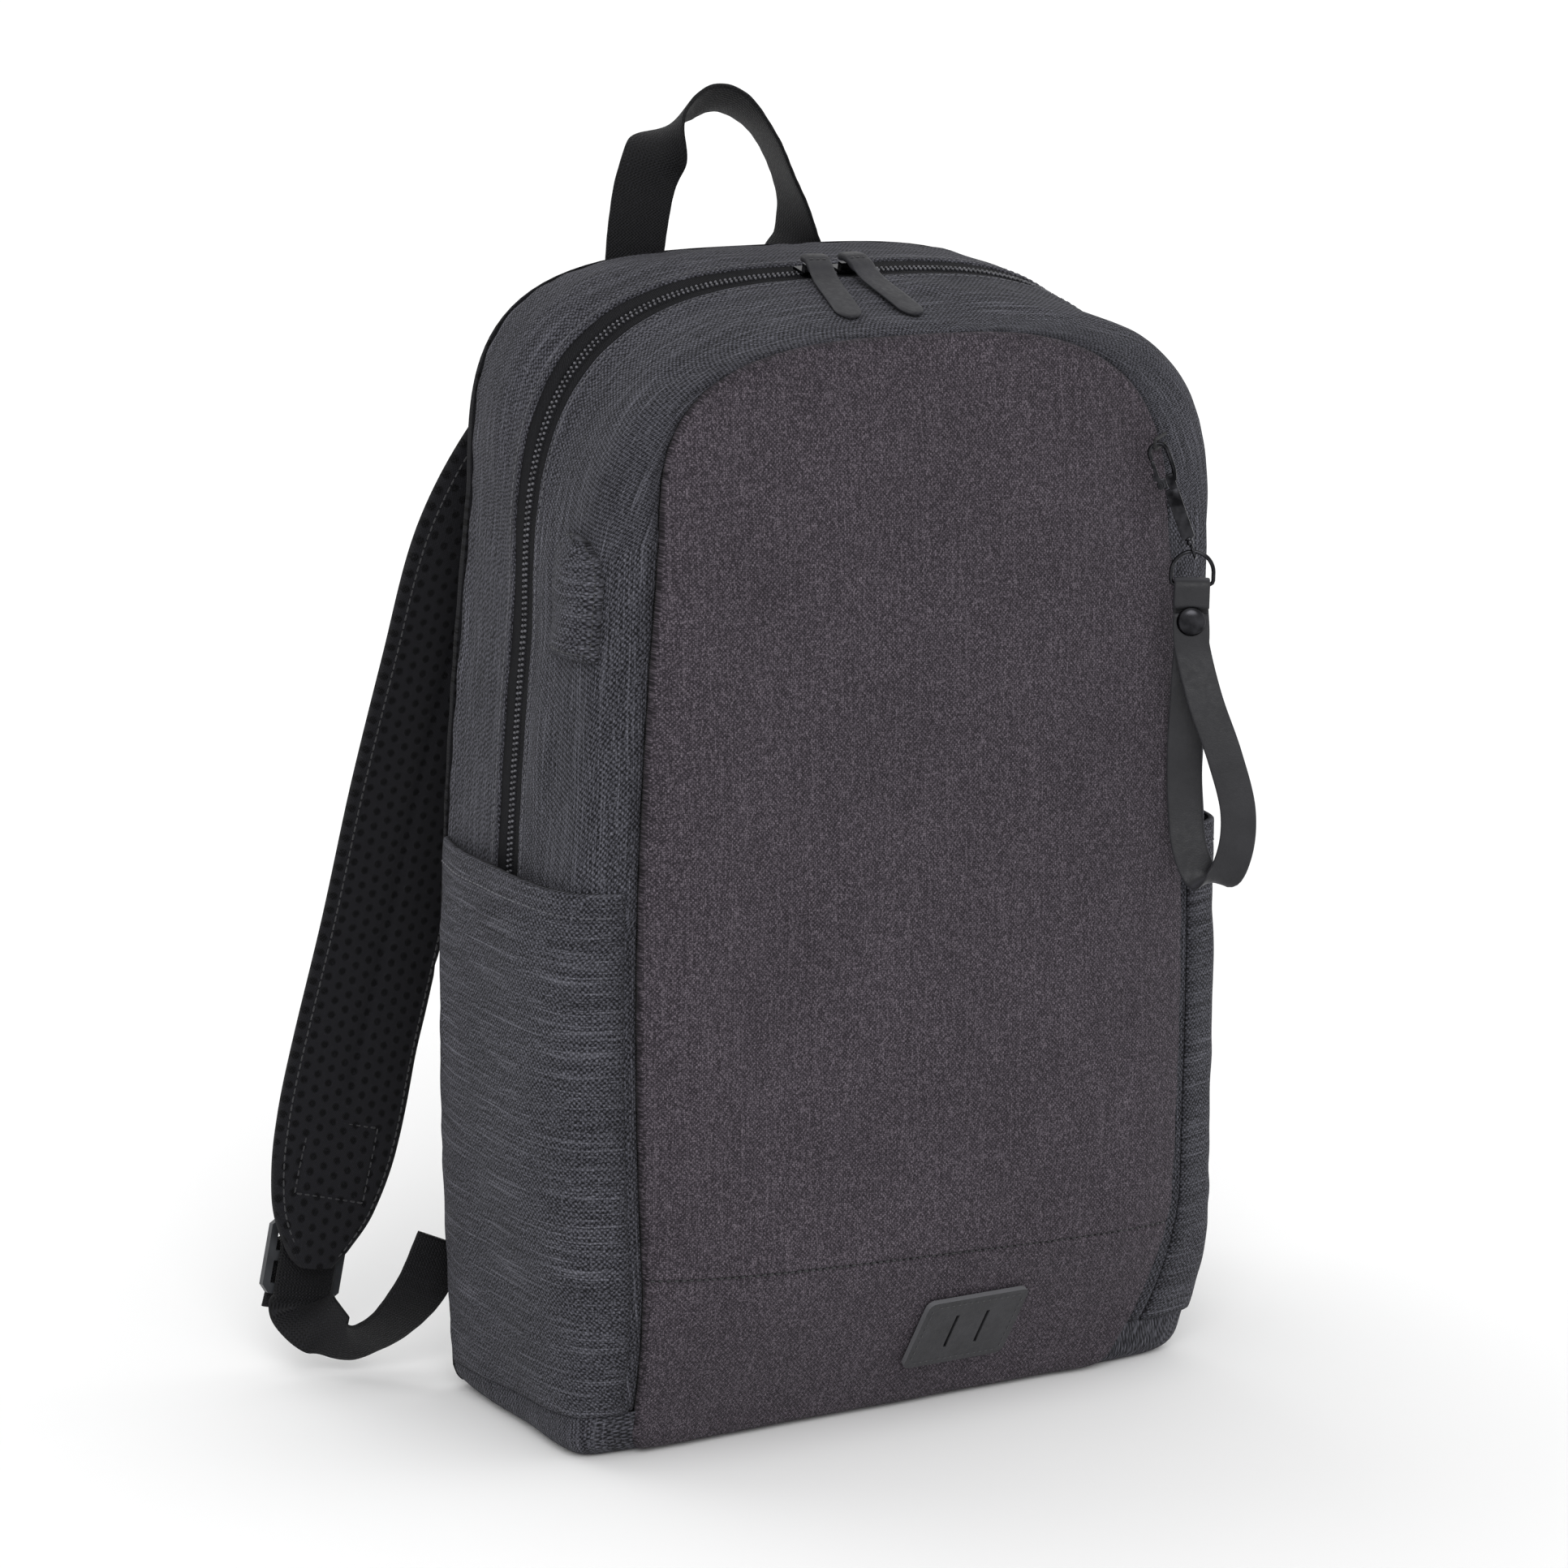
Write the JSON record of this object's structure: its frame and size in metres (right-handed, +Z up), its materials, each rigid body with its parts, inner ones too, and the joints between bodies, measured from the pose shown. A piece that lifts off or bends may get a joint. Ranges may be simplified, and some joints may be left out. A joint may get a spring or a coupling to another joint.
{
  "type": "laptop backpack",
  "caption": "Stuffed rectangular laptop backpack with arched zip, side pockets, padded straps, grab handle and a clipped wrist strap, standing on its flat base.",
  "frame": {"origin": "on the floor under the middle of the bag, in the flat base", "axes": "+Z up; +X to the right seen from the front; +Y to the back that the wearer carries it by"},
  "size_m": [0.3802, 0.2182, 0.5049],
  "materials": {
    "heather": "grey heather woven polyester",
    "melange": "fine grey-mauve melange weave",
    "mesh": "black spacer mesh over foam",
    "webbing": "black ribbed webbing",
    "rubber": "matt dark grey moulded sheet",
    "plastic": "dark grey acetal",
    "metal": "black nickel"
  },
  "bodies": {
    "bag": {"rear_gusset": "heather", "front_gusset": "heather", "zip_tape_rear": "webbing", "zip_tape_front": "webbing", "zip_coil": "webbing", "front_panel": "melange", "front_lower_band": "melange", "back_panel": "mesh", "bottom_panel": "heather", "side_pocket_left": "heather", "side_pocket_right": "heather", "port_cover": "heather", "lash_patch": "rubber", "zip_slider_left": "metal", "pull_tab_left": "rubber", "zip_slider_right": "metal", "pull_tab_right": "rubber", "grab_handle": "webbing", "shoulder_strap_left": "mesh", "adjuster_left": "plastic", "strap_webbing_left": "webbing", "shoulder_strap_right": "mesh", "adjuster_right": "plastic", "strap_webbing_right": "webbing", "trigger_clip": "metal", "pocket_loop": "webbing", "strap_ring": "metal", "wrist_strap": "rubber", "strap_rivet": "metal"},
    "gate": {"clip_gate": "metal"}
  },
  "joints": [
    {"name": "gate_hinge", "type": "hinge", "parent": "bag", "child": "gate", "pos_m": [0.10061, -0.0635, 0.35908], "axis": [0.5299, 0.848, 0], "range_deg": [0, 22], "stiffness_Nm_per_rad": 0.006, "springref_deg": -5.73}
  ]
}
